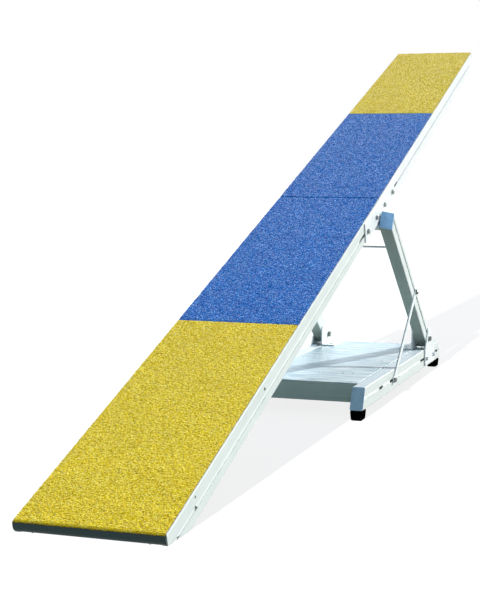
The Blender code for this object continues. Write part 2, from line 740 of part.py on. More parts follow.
def build_posts():
    """Leaning posts with a solid plug at the top that holds the axle, and a rounded foot."""
    foot = empty("post_frame", (0.0, FOOT_BOLT_Y, POST_FOOT_HEIGHT), -POST_LEAN)
    half = POST_DEPTH / 2
    top = -POST_LENGTH - POST_END
    for side_name, side in SIDES:
        loops = slotted_section(side, STAND_IN, -half, half, POST_SLOT_SHIFT)
        post = keep(f"post_{side_name}", slant_top(extruded(loops, "Y", top + CAP_PLATE + GAP, half)), "alloy", foot)
        across = along(side, STAND_IN - 0.005, STAND_OUT + 0.005)
        inner_wall = along(side, STAND_IN - 0.005, STAND_IN + WALL + 0.002)
        cut(post, [rod(0.0053, "X", *across, at=(0.0, 0.0), sides=16),
                   rod(AXLE_RADIUS + GAP, "X", *inner_wall, at=(-POST_LENGTH, 0.0), sides=32),
                   rod(TIE_ROD_RADIUS + GAP, "X", *inner_wall, at=(TIE_ROD_AT - POST_LENGTH, 0.0), sides=12)])
        cut(post, [foot_rounding()])
        middle = side * (STAND_IN + SECTION_WIDTH / 2)
        outline = [(middle + a, b) for a, b in rectangle(SECTION_WIDTH, -half, half, CORNER)]
        plate = edged_plate(outline, "Y", top + CAP_PLATE, top)
        inner = STAND_IN + WALL + GAP
        outer = STAND_OUT - SLOT_DEPTH - WALL - GAP
        plug = block(along(side, inner, outer), (top + CAP_PLATE / 2, AXLE_RADIUS + 0.014 - POST_LENGTH),
                     (WALL + GAP - half, half - WALL - GAP))
        cap = keep(f"post_cap_{side_name}", slant_top(fused([plate, plug])), "cap", foot)
        cut(cap, [rod(AXLE_RADIUS + GAP, "X", *across, at=(-POST_LENGTH, 0.0), sides=32)])
    return foot


def foot_rounding():
    """What is cut away where a post's foot is rounded about its bolt."""
    half, past = POST_DEPTH / 2, 0.010
    steps = 16
    arc = [(half * math.sin(math.pi * k / steps), half * math.cos(math.pi * k / steps))
           for k in range(steps + 1)]
    corners = arc + [(0.0, -half - past), (half + past, -half - past), (half + past, half + past), (0.0, half + past)]
    return extruded([corners], "X", -STAND_OUT - 0.01, STAND_OUT + 0.01)


def build_tie_rod(post_frame):
    """Thin rod that ties the posts together under the plank, with a nut at each post."""
    y = TIE_ROD_AT - POST_LENGTH
    reach = STAND_IN + WALL + 0.003
    bar = rod(TIE_ROD_RADIUS, "X", -reach, reach, at=(y, 0.0), sides=12)
    nuts = [rod(0.0056, "X", *along(side, STAND_IN - GAP - 0.005, STAND_IN - GAP), at=(y, 0.0), sides=6)
            for side_name, side in SIDES]
    keep("tie_rod", fused([bar, *nuts]), "zinc", post_frame)


def build_foot_brackets():
    """Angle inside and gusset outside each post's foot, and the bolt that the post stands on."""
    near, far = FOOT_BOLT_Y - BRACKET_NEAR, FOOT_BOLT_Y + BRACKET_FAR
    top = POST_FOOT_HEIGHT + BRACKET_RISE
    floor = DECK_TOP + GAP
    inner_outline = rounded([(near, floor), (far, floor), (far, floor + 0.012), (FOOT_BOLT_Y + 0.020, top),
                             (FOOT_BOLT_Y - 0.060, top), (near, top - 0.004)],
                            [0, 0, 0.004, 0.012, 0.006, 0.006])
    low = FOOT_HEIGHT + 0.007
    front, rear = FOOT_BOLT_Y - GUSSET_NEAR, FOOT_BOLT_Y + GUSSET_FAR
    outer_outline = rounded([(front, low), (rear, low), (rear, BEAM_TOP + 0.007), (FOOT_BOLT_Y + 0.080, BEAM_TOP + 0.013),
                             (FOOT_BOLT_Y + 0.019, top - 0.002), (FOOT_BOLT_Y - 0.012, top + 0.001),
                             (front - 0.004, BEAM_TOP - 0.002)],
                            [0.004, 0.004, 0.006, 0.020, 0.010, 0.010, 0.012])
    through = SECTION_WIDTH + 4 * GAP + 2 * BRACKET_PLATE
    nut = rod(0.0095, "X", -0.008, 0.0, sides=6)
    long_bolt = hex_bolt(0.005, through, nut)
    stand_off, short_bolt = slot_bolt(BRACKET_PLATE, sunk=True)
    screw = button_screw(0.003, BRACKET_PLATE + SHEET)
    across = (STAND_IN - 0.01, STAND_OUT + 0.01)
    for side_name, side in SIDES:
        upright = extruded([inner_outline], "X", *along(side, STAND_IN - GAP - BRACKET_PLATE, STAND_IN - GAP))
        flange = block(along(side, STAND_IN - GAP - FLANGE_WIDTH, STAND_IN - GAP), (near, far),
                       (floor, floor + BRACKET_PLATE))
        spots = [(side * (STAND_IN - 0.6 * FLANGE_WIDTH), y) for y in (near + 0.035, DECK_FAR - 0.020)]
        screws = [stood(screw, *spot, floor + BRACKET_PLATE - 0.0004) for spot in spots]
        angle = keep(f"foot_angle_{side_name}", fused([upright, flange, *screws]), "plate")
        cut(bpy.data.objects["base_deck"],
            [rod(0.0033, "Z", DECK_TOP - SHEET - 0.001, DECK_TOP + 0.001, at=spot, sides=12) for spot in spots])
        outer_face = STAND_OUT + GAP + BRACKET_PLATE
        plate = edged_plate(outer_outline, "X", side * (STAND_OUT + GAP), side * outer_face)
        bolts = [both_ways(short_bolt, side, outer_face + stand_off, y, BEAM_SLOT) for y in bracket_bolt_places()]
        gusset = keep(f"gusset_{side_name}", fused([plate, *bolts]), "plate")
        for piece in (angle, gusset):
            cut(piece, [rod(0.0053, "X", *along(side, *across), at=(FOOT_BOLT_Y, POST_FOOT_HEIGHT), sides=16)])
        keep(f"post_foot_bolt_{side_name}", both_ways(long_bolt, side, outer_face + GAP, FOOT_BOLT_Y, POST_FOOT_HEIGHT),
             "zinc")


def bracket_bolt_places():
    return FOOT_BOLT_Y - 0.043, FOOT_BOLT_Y + 0.086


def build_struts():
    """Flat bars from the beams' slots to the posts' slots, round at both ends."""
    foot = (PIVOT_Y + STRUT_FOOT_AT, BEAM_SLOT)
    up = (math.sin(POST_LEAN), math.cos(POST_LEAN))
    down = (math.cos(POST_LEAN), -math.sin(POST_LEAN))
    head = (PIVOT_Y + STRUT_TOP_AT * down[0] + POST_SLOT_SHIFT * up[0],
            PIVOT_HEIGHT + STRUT_TOP_AT * down[1] + POST_SLOT_SHIFT * up[1])
    outline = stadium(foot, head, STRUT_WIDTH / 2)
    stand_off, bolt = slot_bolt(BRACKET_PLATE, sunk=False)
    seat = STAND_OUT + GAP + BRACKET_PLATE + stand_off
    for side_name, side in SIDES:
        near, far = side * (STAND_OUT + GAP), side * (STAND_OUT + GAP + BRACKET_PLATE)
        strut = keep(f"strut_{side_name}", edged_plate(outline, "X", near, far), "plate")
        cut(strut, [rod(0.0044, "X", *along(side, STAND_OUT - 0.001, STAND_OUT + 0.01), at=spot, sides=16)
                    for spot in (foot, head)])
        keep(f"strut_foot_bolt_{side_name}", both_ways(bolt, side, seat, *foot), "zinc")
        leaning = moved(bolt, (0.0, 0.0, 0.0), mirror=side < 0)
        leaning.transform(Matrix.Translation((side * seat, *head)) @ Matrix.Rotation(-POST_LEAN, 4, "X"))
        keep(f"strut_top_bolt_{side_name}", leaning, "zinc")


def stadium(start, end, radius, steps=8):
    """Outline of a bar with half-round ends about two points."""
    heading = math.atan2(end[1] - start[1], end[0] - start[0])
    points = []
    for (cx, cy), turn in ((end, -math.pi / 2), (start, math.pi / 2)):
        for k in range(steps + 1):
            angle = heading + turn + math.pi * k / steps
            points.append((cx + radius * math.cos(angle), cy + radius * math.sin(angle)))
    return points


def build():
    collections_ready()
    plank = empty("plank_frame", (0.0, PIVOT_Y, PIVOT_HEIGHT), TILT)
    build_rails(plank)
    build_deck_panels(plank)
    build_cross_ribs(plank)
    build_nosings(plank)
    build_splices(plank)
    build_bearings(plank)
    build_axle()
    build_base()
    build_crossbeams()
    build_deck()
    post_frame = build_posts()
    build_tie_rod(post_frame)
    build_foot_brackets()
    build_struts()
    print("tilt", round(math.degrees(TILT), 3), "pivot y", round(PIVOT_Y, 5))


build()
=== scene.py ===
# %% [markdown]
# # A dog agility seesaw
#
# The seesaw is a long plank of two halves, bolted end to end, that tilts on an axle between
# two leaning posts. It is built from slotted aluminium profiles. The plank's top is a layer
# of coloured rubber crumbs bonded to a sheet, yellow at both ends and blue in the middle.
#
# The exact solid model is already there: loading it brings one object for each piece, all in
# metres, with the origin on the ground under the middle of the seesaw. This lesson keeps the
# pieces whose shape is right, gives every one of them a finish, and replaces or adds the few
# that need a finer surface than a solid model can carry.

# %% Load the solid model and remember its size
import json
import math

import bpy
import numpy as np
from mathutils import Matrix


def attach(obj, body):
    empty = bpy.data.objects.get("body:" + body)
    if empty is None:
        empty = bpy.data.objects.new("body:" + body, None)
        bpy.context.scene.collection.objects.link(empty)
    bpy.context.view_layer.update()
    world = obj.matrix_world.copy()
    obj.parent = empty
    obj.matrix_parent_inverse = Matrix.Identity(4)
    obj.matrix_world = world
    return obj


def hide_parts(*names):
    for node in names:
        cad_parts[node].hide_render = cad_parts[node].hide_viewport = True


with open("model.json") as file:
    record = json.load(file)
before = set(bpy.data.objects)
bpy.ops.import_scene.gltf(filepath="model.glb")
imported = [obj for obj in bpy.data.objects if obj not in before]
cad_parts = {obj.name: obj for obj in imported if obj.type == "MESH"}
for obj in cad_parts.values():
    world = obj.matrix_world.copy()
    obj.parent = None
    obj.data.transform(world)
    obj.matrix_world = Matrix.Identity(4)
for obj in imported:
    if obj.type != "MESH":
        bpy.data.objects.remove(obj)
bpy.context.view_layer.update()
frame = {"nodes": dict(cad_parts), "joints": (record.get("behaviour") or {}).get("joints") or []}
solids = frame["nodes"]

# %% [markdown]
# ## The camera
#
# A photograph fixes the camera completely once enough points of known size have been found
# in it. Here the plank's straight edges and the ends of its four equal colour fields gave the
# place, the three angles and the focal length. A camera could be aimed with a Track To
# constraint, but three angles written out say exactly where it looks.
#
# The picture is 480 by 600 pixels. Blender measures the 36 mm sensor along the longer side,
# so the focal length in pixels times 36 / 600 is the lens in millimetres.

# %% Place the camera
VIEWPOINT = (0.99734, -3.90164, 0.64697)
TURN_LEFT = math.radians(18.023)
LOOK_UP = math.radians(-5.0655)
ROLL = math.radians(0.4681)
FOCAL_PIXELS = 1363.6
LONG_SIDE = 600
SENSOR = 36.0
FAR_CLIP = 200.0

ahead = np.array([-math.sin(TURN_LEFT) * math.cos(LOOK_UP),
                  math.cos(TURN_LEFT) * math.cos(LOOK_UP), math.sin(LOOK_UP)])
level = np.array([math.cos(TURN_LEFT), math.sin(TURN_LEFT), 0.0])
upright = np.cross(level, ahead)
right = math.cos(ROLL) * level + math.sin(ROLL) * upright
top = math.cos(ROLL) * upright - math.sin(ROLL) * level
turn_to_view = Matrix(np.column_stack([right, top, -ahead])).to_4x4()

camera = bpy.data.objects.new("camera", bpy.data.cameras.new("camera"))
bpy.context.scene.collection.objects.link(camera)
camera.matrix_world = Matrix.Translation(VIEWPOINT) @ turn_to_view
camera.data.sensor_width = SENSOR
camera.data.lens = FOCAL_PIXELS * SENSOR / LONG_SIDE
camera.data.clip_end = FAR_CLIP
bpy.context.scene.camera = camera
print("lens", round(camera.data.lens, 2), "mm")

# %% [markdown]
# ## Where the plank and the posts lie
#
# The plank rests at a slant, and so do the posts. Working out a piece in slanted room
# coordinates is hard, so each family of pieces gets its own straight coordinates: along,
# across and up. One small function turns those into the room's. Turning the objects instead
# would be less work, but a pattern on their coordinates would then turn with them.
#
# Both slants follow from sizes. The near end of the plank lies on the ground, so the pivot's
# height and its distance from that end give the tilt. A post runs from the axle down to the
# bolt at its foot.

# %% Sizes of the solids in metres, and the two slants
PIVOT = np.array(frame["joints"][0]["pos_m"])
HALF_LENGTH = 3.600 / 2
PLANK_WIDTH = 0.300
PIVOT_DROP = 0.085  # from the plank's top down to the pivot
NOSE_DEPTH = 0.027  # thickness of the plank at its two ends
PROFILE_WIDTH = 0.036
POST_SIDE = 0.156  # from the middle out to the inner faces of posts and base beams
POST_REACH = 0.588  # from the pivot back to the bolt at the post's foot
POST_FOOT_HEIGHT = 0.121  # of that bolt, above the ground
BEAM_TOP = 0.089
DECK_TOP = 0.0895

rise = PIVOT_DROP - NOSE_DEPTH
TILT = math.asin(PIVOT[2] / math.hypot(HALF_LENGTH, rise)) + math.atan2(rise, HALF_LENGTH)
POST_LEAN = math.atan2(PIVOT[2] - POST_FOOT_HEIGHT, POST_REACH)
print("plank tilts by", round(math.degrees(TILT), 3), "degrees")
print("posts lean at", round(math.degrees(POST_LEAN), 3), "degrees")


def slanted(points, origin, angle):
    """Rows of (x, along, up) turned about the X axis by angle and moved to origin."""
    x, along, up = np.moveaxis(np.asarray(points, float), -1, 0)
    c, s = math.cos(angle), math.sin(angle)
    return np.stack([x + origin[0], origin[1] + along * c - up * s,
                     origin[2] + along * s + up * c], axis=-1)


def on_plank(points):
    """Rows of (x, distance from the seam, depth under the plank's top) in room coordinates."""
    points = np.array(points, float)
    points[..., 2] = PIVOT_DROP - points[..., 2]
    return slanted(points, PIVOT, TILT)


# %% [markdown]
# ## Turning arrays into pieces
#
# Every new piece below is worked out as whole arrays of points. Two helpers do the rest: one
# numbers the four-sided faces of a grid, and one turns arrays into a mesh that rides on the
# right body. Blender's own primitives and modifiers could make many of these shapes, but an
# array says in one line where every point lies.

# %% Grids and meshes
SHARP_EDGE = math.radians(35)


def grid_faces(rows, columns, around=False):
    """Four-sided faces of a grid of points that is stored row by row.

    around joins its last column to its first.
    """
    r = np.arange(rows - 1)[:, None]
    c = np.arange(columns if around else columns - 1)[None, :]
    after = (c + 1) % columns
    corners = [r * columns + c, r * columns + after, (r + 1) * columns + after, (r + 1) * columns + c]
    return np.stack(np.broadcast_arrays(*corners), axis=-1).reshape(-1, 4).tolist()


def piece(name, points, faces, body, smooth=False):
    """Mesh object from arrays, in room coordinates, that rides on a body."""
    mesh = bpy.data.meshes.new(name)
    mesh.from_pydata(np.asarray(points, float).reshape(-1, 3).tolist(), [], faces)
    if smooth:
        mesh.shade_smooth()
        mesh.set_sharp_from_angle(angle=SHARP_EDGE)
    made = bpy.data.objects.new(name, mesh)
    bpy.context.scene.collection.objects.link(made)
    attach(made, body)
    return made


print("a grid of 3 by 4 points has", len(grid_faces(3, 4)), "faces")

# %% [markdown]
# ## Materials
#
# A finish is a few nodes on Object coordinates, which are the room's metres here because
# every object sits at the origin. A Mapping node of the Texture kind undoes a turn and
# divides by a size, so a pattern's scale can be written as a real length in metres, along
# and across a slanted profile. Pictures of metal or rubber would do as well, but they blur
# close up and repeat, and nodes do neither.

# %% Colours, nodes and the start of a finish
LYING = (0.0, 0.0, 0.0)
AS_PLANK = (TILT, 0.0, 0.0)
AS_POST = (-POST_LEAN, 0.0, 0.0)
METRE = (1.0, 1.0, 1.0)


def colour(text):
    """Linear RGBA from an sRGB hex value such as d8c84a."""
    s = np.array([int(text[i:i + 2], 16) / 255 for i in (0, 2, 4)])
    linear = np.where(s <= 0.04045, s / 12.92, ((s + 0.055) / 1.055) ** 2.4)
    return (*linear.tolist(), 1.0)


def add(tree, kind, sockets=None, stops=None, **settings):
    """Adds a node: settings are its own, sockets are its inputs' values or links.

    stops fill a colour ramp, as (position, hex colour).
    """
    made = tree.nodes.new(kind)
    for key, value in settings.items():
        setattr(made, key, value)
    for key, value in (sockets or {}).items():
        if isinstance(value, bpy.types.NodeSocket):
            tree.links.new(value, made.inputs[key])
        else:
            made.inputs[key].default_value = value
    if stops:
        ramp = made.color_ramp
        while len(ramp.elements) < len(stops):
            ramp.elements.new(0.5)
        for element, (position, text) in zip(ramp.elements, stops):
            element.position, element.color = position, colour(text)
    return made


def finish(name, **sockets):
    """New material with plain values on its Principled BSDF.

    Gives the material, its node tree and the shader.
    """
    made = bpy.data.materials.new(name)
    made.use_nodes = True
    shader = made.node_tree.nodes["Principled BSDF"]
    for key, value in sockets.items():
        shader.inputs[key.replace("_", " ")].default_value = value
    return made, made.node_tree, shader


def measured(tree, size=METRE, turn=LYING, centre=(0.0, 0.0, 0.0)):
    """Object coordinates from a centre, turned back by turn and divided by a size.

    The size is in metres and has one number for each axis.
    """
    place = add(tree, "ShaderNodeTexCoord").outputs["Object"]
    return add(tree, "ShaderNodeMapping", {"Vector": place, "Location": centre, "Rotation": turn,
                                           "Scale": size}, vector_type="TEXTURE").outputs["Vector"]


def blotches(tree, size, turn=LYING, detail=3.0):
    """Random light and dark whose blotches have a real size on each axis."""
    sockets = {"Vector": measured(tree, size, turn), "Scale": 1.0, "Detail": detail}
    return add(tree, "ShaderNodeTexNoise", sockets).outputs["Fac"]


print("hex d8c84a is", [round(part, 3) for part in colour("d8c84a")[:3]], "as linear light")

# %% [markdown]
# ## Extruded aluminium
#
# The profiles are aluminium pushed through a die and left mill finished or thinly anodised:
# pale, softly shining, with faint lines along their length where the die dragged, and dull
# patches from handling. Stretched noise gives the lines: short across, very long along. The
# die's real lines are a tenth of a millimetre apart and would vanish in the picture, so
# these are drawn 2 mm wide. Such a dull skin scatters light almost as paint does, so the
# metallic share is close to nothing. A larger one would only mirror the white surroundings.

# %% Extruded aluminium
LINE_WIDTH = 0.002
LINE_LENGTH = 0.450
PATCH = (0.09, 0.09, 0.05)
TOP_SHADE_EDGE = 0.0005  # the painted shade on the top fades in over this height
UNDER_SHADE_STARTS, UNDER_SHADE_FULL = 0.0006, 0.0003  # above the lowest face that carries the painted shade
FINE_RELIEF = 0.0002
MILL_TONES = ("d6dfdb", "dfe6e2", "e9efec")


def extruded_aluminium(name, turn, along=1, tones=MILL_TONES, shade_top_above=None, shaded_under=None):
    """Drawn lines along one axis; faces above the height shade_top_above, in metres, are painted duller
    and bluer: painted shade with a sky tint.

    shaded_under is a distance under the pivot's own plane, across the turned profile. The face beyond it
    looks down at the deck and is painted darker with colour c4cbc1: painted shade.
    """
    made, tree, shader = finish(name, Metallic=0.02, Specular_IOR_Level=0.25)
    size = [LINE_WIDTH] * 3
    size[along] = LINE_LENGTH
    lines = blotches(tree, size, turn)
    patches = blotches(tree, PATCH, turn)
    lined = add(tree, "ShaderNodeValToRGB", {"Fac": lines}, stops=list(zip((0.30, 0.50, 0.72), tones)))
    dull = add(tree, "ShaderNodeValToRGB", {"Fac": patches}, stops=[(0.35, "e6ebe9"), (0.65, "ffffff")])
    tone = add(tree, "ShaderNodeMix", {"Factor": 0.40, "A": lined.outputs["Color"],
                                       "B": dull.outputs["Color"]},
               data_type="RGBA", blend_type="MULTIPLY").outputs["Result"]
    # Painted shade: faces above this height get colour cfdae0, duller and bluer, as if lit by the sky
    # alone.
    if shade_top_above:
        place = add(tree, "ShaderNodeSeparateXYZ", {"Vector": measured(tree)})
        top_shade = add(tree, "ShaderNodeMapRange", {"Value": place.outputs["Z"], "From Min": shade_top_above,
                                                "From Max": shade_top_above + TOP_SHADE_EDGE})
        tone = add(tree, "ShaderNodeMix", {"Factor": top_shade.outputs["Result"], "A": tone,
                                           "B": colour("cfdae0")}, data_type="RGBA").outputs["Result"]
    # Painted shade: the face beyond this distance is multiplied by colour c4cbc1.
    if shaded_under:
        place = add(tree, "ShaderNodeSeparateXYZ",
                    {"Vector": measured(tree, METRE, turn, PIVOT.tolist())})
        under_shade = add(tree, "ShaderNodeMapRange", {"Value": place.outputs["Z"],
                                                "From Min": UNDER_SHADE_STARTS - shaded_under,
                                                "From Max": UNDER_SHADE_FULL - shaded_under})
        tone = add(tree, "ShaderNodeMix", {"Factor": under_shade.outputs["Result"], "A": tone,
                                           "B": colour("c4cbc1")},
                   data_type="RGBA", blend_type="MULTIPLY").outputs["Result"]
    rough = add(tree, "ShaderNodeMapRange", {"Value": patches, "From Min": 0.3, "From Max": 0.7,
                                             "To Min": 0.36, "To Max": 0.50})
    bump = add(tree, "ShaderNodeBump", {"Height": lines, "Strength": 0.15, "Distance": FINE_RELIEF})
    tree.links.new(tone, shader.inputs["Base Color"])
    tree.links.new(rough.outputs["Result"], shader.inputs["Roughness"])
    tree.links.new(bump.outputs["Normal"], shader.inputs["Normal"])
    return made


print("die lines", 1000 * LINE_WIDTH, "mm wide")

# %% [markdown]
# ## One aluminium, several tones
#
# The profiles all have the same skin, but not the same tone. The two far rails are painted paler
# than the near ones: painted light. The tops of the base beams are painted duller and bluer, and
# the posts' undersides, which look down at the deck, are painted darker: both painted shade. The
# front and middle crossbeams have a green cast, a painted reflection of turf, and the rear one
# and the ribs under the plank are greyer: painted shade. The strips that close the slots have a
# brighter skin than the profiles, but on the plank's far half they are painted darker, for the
# shade along the slot's lips.
#
# One material could carry a mask for all of these, but a material for each tone can be matched
# to the photograph by itself. The posts' lowest face is measured from the solid.

# %% The profiles' finishes
post_corners = solids["post_left"].data.vertices
flat = np.empty(3 * len(post_corners))
post_corners.foreach_get("co", flat)
along, up = (flat.reshape(-1, 3) - PIVOT)[:, 1:].T
POST_UNDER = float(-(along * math.sin(POST_LEAN) + up * math.cos(POST_LEAN)).min())
# Above this height the base beams' tops carry painted shade.
TOP_SHADE_ABOVE = BEAM_TOP - 0.0009

plank_profile = extruded_aluminium("mill_aluminium_plank_profile", AS_PLANK,
                                   tones=("d1dad4", "d9e1dc", "e2e8e4"))
# Painted light: the far rails get paler tones because they catch more light.
far_profile_painted_light = extruded_aluminium("mill_aluminium_plank_far_profile", AS_PLANK,
                                 tones=("e4ebe8", "ebf0ee", "f3f7f6"))
post_profile = extruded_aluminium("mill_aluminium_post_profile", AS_POST, shaded_under=POST_UNDER)
beam_profile = extruded_aluminium("mill_aluminium_beam_profile", LYING,
                                  tones=("cfd8d2", "d8dfda", "e2e8e4"), shade_top_above=TOP_SHADE_ABOVE)
# Painted reflection: the green cast in these tones stands for turf seen in the shaded faces.
cross_profile_painted_turf = extruded_aluminium("mill_aluminium_cross_profile", LYING, along=0,
                                   tones=("bcd3c7", "c6dcd1", "d0e4d9"))
# Painted shade: the rear crossbeam and the ribs under the plank get greyer, darker tones.
rear_profile_painted_shade = extruded_aluminium("mill_aluminium_rear_crossbeam", LYING, along=0,
                                  tones=("b7bfbb", "c0c8c4", "cad1ce"))
plank_cover = extruded_aluminium("bright_cover_strip_plank", AS_PLANK,
                                 tones=("e4ebe7", "ecf2ef", "f5f9f7"))
# Painted shade: the far strips are darker, for the shade along the slot's lips.
far_cover_painted_shade = extruded_aluminium("dull_cover_strip_plank", AS_PLANK,
                               tones=("c2c5c8", "caccd0", "d3d5d9"))
beam_cover = extruded_aluminium("bright_cover_strip_beam", LYING,
                                tones=("eef3f0", "f6faf8", "fdfffe"))
print("the posts' undersides are", round(POST_UNDER, 4), "m under the pivot, across the post")

# %% [markdown]
# ## Rolled sheet and cut plate
#
# The deck and the sheets under the rubber are rolled: their streaks run one way, wider and
# softer than a die's lines, and they show as bright and bluish bands in low light. The
# brackets, gussets and struts are cut from flat stock with a fine, even grain. The same
# stretched noise serves again, once coarse for the bands and once fine for the hair lines in
# them. Real streaks are well under a millimetre across. These are drawn 10 mm and more, so
# that they show from where the camera stands.
#
# A splice plate and its bolts are one solid, so the bolts' zinc starts at a distance from the
# middle that only their heads reach.

# %% Rolled sheet and cut plate
HAIR = 0.3  # size of the hair lines, as a share of a streak
ZINC_EDGE = 0.0002  # plate turns to zinc over this distance
SPLICE_FACE = PLANK_WIDTH / 2 + 0.0035


def rolled_sheet(name, turn, streak, tones, bolts_beyond=None, **sockets):
    """Rolled aluminium; streak is the size of one streak on each axis, in metres.

    bolts_beyond is the distance from the middle beyond which the solid is a zinc bolt, not the plate.
    """
    made, tree, shader = finish(name, Metallic=0.06, **sockets)
    bands = blotches(tree, streak, turn, detail=4.0)
    fine = blotches(tree, [s * HAIR for s in streak], turn)
    banded = add(tree, "ShaderNodeValToRGB", {"Fac": bands}, stops=list(zip((0.34, 0.50, 0.64), tones)))
    hair = add(tree, "ShaderNodeValToRGB", {"Fac": fine}, stops=[(0.3, "dfe4e6"), (0.7, "ffffff")])
    tone = add(tree, "ShaderNodeMix", {"Factor": 0.6, "A": banded.outputs["Color"],
                                       "B": hair.outputs["Color"]},
               data_type="RGBA", blend_type="MULTIPLY").outputs["Result"]
    if bolts_beyond:
        place = add(tree, "ShaderNodeSeparateXYZ", {"Vector": measured(tree)})
        out = add(tree, "ShaderNodeMath", {0: place.outputs["X"]}, operation="ABSOLUTE")
        bolt = add(tree, "ShaderNodeMapRange", {"Value": out.outputs["Value"], "From Min": bolts_beyond,
                                                "From Max": bolts_beyond + ZINC_EDGE})
        tone = add(tree, "ShaderNodeMix", {"Factor": bolt.outputs["Result"], "A": tone,
                                           "B": colour("aab0ac")}, data_type="RGBA").outputs["Result"]
    rough = add(tree, "ShaderNodeMapRange", {"Value": bands, "From Min": 0.3, "From Max": 0.7,
                                             "To Min": 0.50, "To Max": 0.34})
    bump = add(tree, "ShaderNodeBump", {"Height": fine, "Strength": 0.2, "Distance": FINE_RELIEF})
    tree.links.new(tone, shader.inputs["Base Color"])
    tree.links.new(rough.outputs["Result"], shader.inputs["Roughness"])
    tree.links.new(bump.outputs["Normal"], shader.inputs["Normal"])
    return made


# The deck's tones are tinted blue: a painted reflection of the sky.
deck_sheet = rolled_sheet("rolled_aluminium_deck", LYING, (0.090, 0.014, 0.010),
                          ("93b4c2", "b9d0da", "dfeaec"), Coat_Weight=0.25, Coat_Roughness=0.28)
plank_sheet = rolled_sheet("rolled_aluminium_plank_sheet", AS_PLANK, (0.010, 0.080, 0.010),
                           ("c6cfca", "ced6d2", "d8dfdb"))
splice_stock = rolled_sheet("cut_aluminium_splice_plate", AS_PLANK, (0.010, 0.060, 0.020),
                            ("e9eeec", "f2f6f4", "fbfdfc"), bolts_beyond=SPLICE_FACE)
flat_stock = rolled_sheet("cut_aluminium_flat_stock", LYING, (0.010, 0.018, 0.018),
                          ("e2e8e7", "edf2f0", "f8fbfa"))
print("sheet and plate:", *(stock.name for stock in (deck_sheet, plank_sheet, splice_stock, flat_stock)))

# %% [markdown]
# ## Rubber crumbs
#
# The top layer is EPDM rubber granulate: coloured rubber chopped to crumbs of 1 to 4 mm and
# stuck down with a clear binder. Each crumb has its own shade, and the brightest shades also
# stand for faces that catch the sun: a painted glint. Voronoi cells of 2.0 by 3.1 mm, a real
# crumb's size, give every crumb one random shade, and the cell edges give the gaps, painted
# nearly black as shade. Crumbs that lie deep, as at a cut edge, are painted darker too, as shade.
#
# Seen at a shallow angle, the binder's film turns the rubber paler. Sheen does the same, and
# costs less than a second, clear layer over the crumbs.

# %% Granulate in yellow and blue
CRUMB = 0.0025
CELL = (0.8 * CRUMB, 1.25 * CRUMB, CRUMB)
DRIFT = (0.05, 0.09, 0.05)  # size of the faint light and dark areas of a field
CREVICE_SHADE_SHARE = 0.12  # width of the painted shade round a crumb, as a share of the cell
PIT_SHADE_STARTS, PIT_SHADE_FULL = 0.0008, 0.0030  # painted shade of deep crumbs, under the plank's top
CRUMB_RELIEF = 0.001


def granulate(name, shades, crevice_shade):
    """Bonded crumbs: shades are the ramp's stops from the darkest crumb to the brightest. crevice_shade
    is the colour of the painted shade between and under the crumbs.
    """
    made, tree, shader = finish(name, Metallic=0.0, Specular_IOR_Level=0.08, Sheen_Weight=0.88,
                                Sheen_Roughness=0.235)
    place = measured(tree, CELL, AS_PLANK)
    crumbs = add(tree, "ShaderNodeTexVoronoi", {"Vector": place, "Scale": 1.0, "Randomness": 1.0})
    edges = add(tree, "ShaderNodeTexVoronoi", {"Vector": place, "Scale": 1.0, "Randomness": 1.0},
                feature="DISTANCE_TO_EDGE")
    from_edge = edges.outputs["Distance"]
    pick = add(tree, "ShaderNodeSeparateColor", {"Color": crumbs.outputs["Color"]})
    shade = add(tree, "ShaderNodeValToRGB", {"Fac": pick.outputs["Red"]}, stops=shades)
    drift = add(tree, "ShaderNodeValToRGB", {"Fac": blotches(tree, DRIFT, AS_PLANK)},
                stops=[(0.35, "f3f3f3"), (0.65, "fafafa")])
    tone = add(tree, "ShaderNodeMix", {"Factor": 1.0, "A": shade.outputs["Color"],
                                       "B": drift.outputs["Color"]},
               data_type="RGBA", blend_type="MULTIPLY").outputs["Result"]
    # Painted shade in the gaps between crumbs, from the cell edges.
    dark = add(tree, "ShaderNodeMapRange", {"Value": from_edge, "From Min": 0.0, "From Max": CREVICE_SHADE_SHARE,
                                            "To Min": 0.48, "To Max": 0.0})
    # Painted shade: crumbs that lie deeper under the plank's top are darker.
    place = add(tree, "ShaderNodeSeparateXYZ",
                {"Vector": measured(tree, METRE, AS_PLANK, PIVOT.tolist())})
    pit_shade = add(tree, "ShaderNodeMapRange", {"Value": place.outputs["Z"],
                                           "From Min": PIVOT_DROP - PIT_SHADE_STARTS,
                                           "From Max": PIVOT_DROP - PIT_SHADE_FULL,
                                           "To Min": 0.0, "To Max": 0.5})
    crumb_shade = add(tree, "ShaderNodeMath", {0: dark.outputs["Result"], 1: pit_shade.outputs["Result"]},
               operation="MAXIMUM")
    tone = add(tree, "ShaderNodeMix", {"Factor": crumb_shade.outputs["Value"], "A": tone, "B": colour(crevice_shade)},
               data_type="RGBA").outputs["Result"]
    rough = add(tree, "ShaderNodeMapRange",
                {"Value": pick.outputs["Green"], "To Min": 0.35, "To Max": 0.85})
    bump = add(tree, "ShaderNodeBump", {"Height": from_edge, "Strength": 0.6, "Distance": CRUMB_RELIEF})
    tree.links.new(tone, shader.inputs["Base Color"])
    tree.links.new(rough.outputs["Result"], shader.inputs["Roughness"])
    tree.links.new(bump.outputs["Normal"], shader.inputs["Normal"])
    return made


